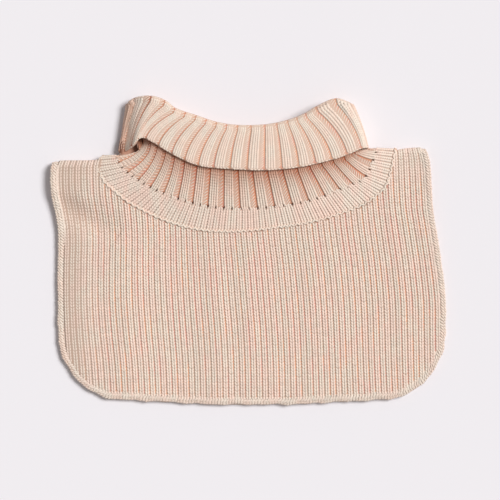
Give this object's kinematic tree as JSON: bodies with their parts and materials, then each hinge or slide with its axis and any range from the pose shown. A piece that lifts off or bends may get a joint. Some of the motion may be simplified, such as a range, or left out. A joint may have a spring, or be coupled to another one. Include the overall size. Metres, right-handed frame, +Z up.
{
  "type": "neck warmer",
  "caption": "Knitted neck warmer lying flat: a ribbed bib with rounded lower corners and a wide-rib collar rolled over into a cuff.",
  "frame": {"origin": "middle of the outline, on the surface that it lies on", "axes": "+X to the right across the bib seen from above, +Y towards the collar, +Z up"},
  "size_m": [0.2859, 0.2232, 0.0197],
  "materials": {
    "body_knit": "matte",
    "hem_knit": "matte",
    "band_knit": "matte",
    "collar_knit": "matte"
  },
  "bodies": {
    "root": {"front_bib": "body_knit", "back_bib": "body_knit", "front_hem": "hem_knit", "back_hem": "hem_knit", "neck_band": "band_knit", "roll_collar": "collar_knit"}
  },
  "joints": []
}
